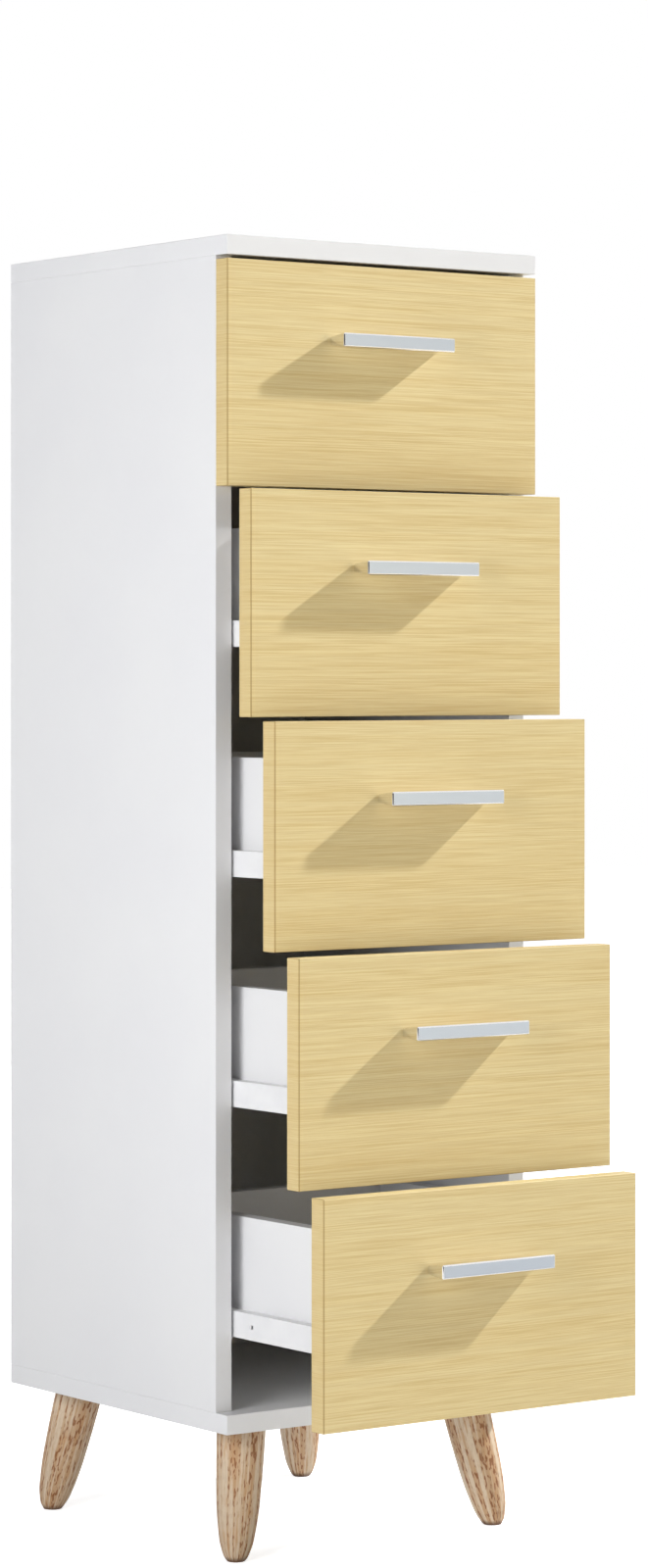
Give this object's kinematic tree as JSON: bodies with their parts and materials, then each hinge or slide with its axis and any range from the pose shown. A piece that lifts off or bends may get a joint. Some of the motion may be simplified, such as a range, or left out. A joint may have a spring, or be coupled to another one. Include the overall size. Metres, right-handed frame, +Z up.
{
  "type": "drawer cabinet",
  "caption": "Tall narrow bathroom cabinet on splayed round legs, with a stack of sliding drawers behind flat wood-faced fronts with bar handles.",
  "frame": {"origin": "on the floor, under the middle of the whole object's box with the drawers standing open as in the picture", "axes": "+Z up; -Y out of the front, the way the drawers open; +X to the right as seen from the front"},
  "size_m": [0.3, 0.4544, 1.015],
  "materials": {
    "white_board": "white melamine-faced board, satin",
    "oak_board": "pale oak laminate on board, grain running across, satin",
    "white_sheet": "thin hardboard, white lacquer, matte",
    "oak_leg": "solid oak, turned, limed and oiled",
    "satin_metal": "satin face with polished edges",
    "white_steel": "white powder-coated sheet steel",
    "white_nylon": "natural white nylon",
    "zinc_steel": "bright zinc plate",
    "beech": "plain beech"
  },
  "bodies": {
    "cabinet": {"top_panel": "white_board", "bottom_panel": "white_board", "left_side_panel": "white_board", "right_side_panel": "white_board", "back_panel": "white_sheet", "board_tenons": "beech", "front_left_leg": "oak_leg", "front_right_leg": "oak_leg", "rear_left_leg": "oak_leg", "rear_right_leg": "oak_leg", "leg_bolts": "zinc_steel", "cabinet_rails": "white_steel"},
    "drawer_1": {"drawer_1_front": "oak_board", "drawer_1_left_side": "white_board", "drawer_1_right_side": "white_board", "drawer_1_back": "white_board", "drawer_1_base": "white_sheet", "drawer_1_handle": "satin_metal", "drawer_1_runners": "white_steel"},
    "drawer_1_rollers": {"drawer_1_rollers": "white_nylon"},
    "rail_1_rollers": {"rail_1_rollers": "white_nylon"},
    "drawer_2": {"drawer_2_front": "oak_board", "drawer_2_left_side": "white_board", "drawer_2_right_side": "white_board", "drawer_2_back": "white_board", "drawer_2_base": "white_sheet", "drawer_2_handle": "satin_metal", "drawer_2_runners": "white_steel"},
    "drawer_2_rollers": {"drawer_2_rollers": "white_nylon"},
    "rail_2_rollers": {"rail_2_rollers": "white_nylon"},
    "drawer_3": {"drawer_3_front": "oak_board", "drawer_3_left_side": "white_board", "drawer_3_right_side": "white_board", "drawer_3_back": "white_board", "drawer_3_base": "white_sheet", "drawer_3_handle": "satin_metal", "drawer_3_runners": "white_steel"},
    "drawer_3_rollers": {"drawer_3_rollers": "white_nylon"},
    "rail_3_rollers": {"rail_3_rollers": "white_nylon"},
    "drawer_4": {"drawer_4_front": "oak_board", "drawer_4_left_side": "white_board", "drawer_4_right_side": "white_board", "drawer_4_back": "white_board", "drawer_4_base": "white_sheet", "drawer_4_handle": "satin_metal", "drawer_4_runners": "white_steel"},
    "drawer_4_rollers": {"drawer_4_rollers": "white_nylon"},
    "rail_4_rollers": {"rail_4_rollers": "white_nylon"},
    "drawer_5": {"drawer_5_front": "oak_board", "drawer_5_left_side": "white_board", "drawer_5_right_side": "white_board", "drawer_5_back": "white_board", "drawer_5_base": "white_sheet", "drawer_5_handle": "satin_metal", "drawer_5_runners": "white_steel"},
    "drawer_5_rollers": {"drawer_5_rollers": "white_nylon"},
    "rail_5_rollers": {"rail_5_rollers": "white_nylon"}
  },
  "joints": [
    {"name": "drawer_1_slide", "type": "slide", "parent": "cabinet", "child": "drawer_1", "axis": [0, -1, 0], "range_m": [0, 0.185]},
    {"name": "rail_1_rollers_spin", "type": "hinge", "parent": "cabinet", "child": "rail_1_rollers", "pos_m": [0, -0.0435, 0.888], "axis": [1, 0, 0], "range_deg": [-1, 1326]},
    {"name": "drawer_1_rollers_spin", "type": "hinge", "parent": "drawer_1", "child": "drawer_1_rollers", "pos_m": [0, 0.1722, 0.8829], "axis": [1, 0, 0], "range_deg": [-1, 1326]},
    {"name": "drawer_2_slide", "type": "slide", "parent": "cabinet", "child": "drawer_2", "axis": [0, -1, 0], "range_m": [-0.0311, 0.1539]},
    {"name": "rail_2_rollers_spin", "type": "hinge", "parent": "cabinet", "child": "rail_2_rollers", "pos_m": [0, -0.0435, 0.712], "axis": [1, 0, 0], "range_deg": [-224, 1104]},
    {"name": "drawer_2_rollers_spin", "type": "hinge", "parent": "drawer_2", "child": "drawer_2_rollers", "pos_m": [0, 0.1411, 0.7069], "axis": [1, 0, 0], "range_deg": [-224, 1104]},
    {"name": "drawer_3_slide", "type": "slide", "parent": "cabinet", "child": "drawer_3", "axis": [0, -1, 0], "range_m": [-0.0622, 0.1228]},
    {"name": "rail_3_rollers_spin", "type": "hinge", "parent": "cabinet", "child": "rail_3_rollers", "pos_m": [0, -0.0435, 0.536], "axis": [1, 0, 0], "range_deg": [-447, 881]},
    {"name": "drawer_3_rollers_spin", "type": "hinge", "parent": "drawer_3", "child": "drawer_3_rollers", "pos_m": [0, 0.11, 0.5309], "axis": [1, 0, 0], "range_deg": [-447, 881]},
    {"name": "drawer_4_slide", "type": "slide", "parent": "cabinet", "child": "drawer_4", "axis": [0, -1, 0], "range_m": [-0.0933, 0.0917]},
    {"name": "rail_4_rollers_spin", "type": "hinge", "parent": "cabinet", "child": "rail_4_rollers", "pos_m": [0, -0.0435, 0.36], "axis": [1, 0, 0], "range_deg": [-670, 658]},
    {"name": "drawer_4_rollers_spin", "type": "hinge", "parent": "drawer_4", "child": "drawer_4_rollers", "pos_m": [0, 0.0789, 0.3549], "axis": [1, 0, 0], "range_deg": [-670, 658]},
    {"name": "drawer_5_slide", "type": "slide", "parent": "cabinet", "child": "drawer_5", "axis": [0, -1, 0], "range_m": [-0.1244, 0.0606]},
    {"name": "rail_5_rollers_spin", "type": "hinge", "parent": "cabinet", "child": "rail_5_rollers", "pos_m": [0, -0.0435, 0.184], "axis": [1, 0, 0], "range_deg": [-892, 436]},
    {"name": "drawer_5_rollers_spin", "type": "hinge", "parent": "drawer_5", "child": "drawer_5_rollers", "pos_m": [0, 0.0478, 0.1789], "axis": [1, 0, 0], "range_deg": [-892, 436]}
  ],
  "couplings": [
    {"joint": "rail_1_rollers_spin", "follows": "drawer_1_slide", "rad_per_m": 125},
    {"joint": "drawer_1_rollers_spin", "follows": "drawer_1_slide", "rad_per_m": 125},
    {"joint": "rail_2_rollers_spin", "follows": "drawer_2_slide", "rad_per_m": 125},
    {"joint": "drawer_2_rollers_spin", "follows": "drawer_2_slide", "rad_per_m": 125},
    {"joint": "rail_3_rollers_spin", "follows": "drawer_3_slide", "rad_per_m": 125},
    {"joint": "drawer_3_rollers_spin", "follows": "drawer_3_slide", "rad_per_m": 125},
    {"joint": "rail_4_rollers_spin", "follows": "drawer_4_slide", "rad_per_m": 125},
    {"joint": "drawer_4_rollers_spin", "follows": "drawer_4_slide", "rad_per_m": 125},
    {"joint": "rail_5_rollers_spin", "follows": "drawer_5_slide", "rad_per_m": 125},
    {"joint": "drawer_5_rollers_spin", "follows": "drawer_5_slide", "rad_per_m": 125}
  ]
}
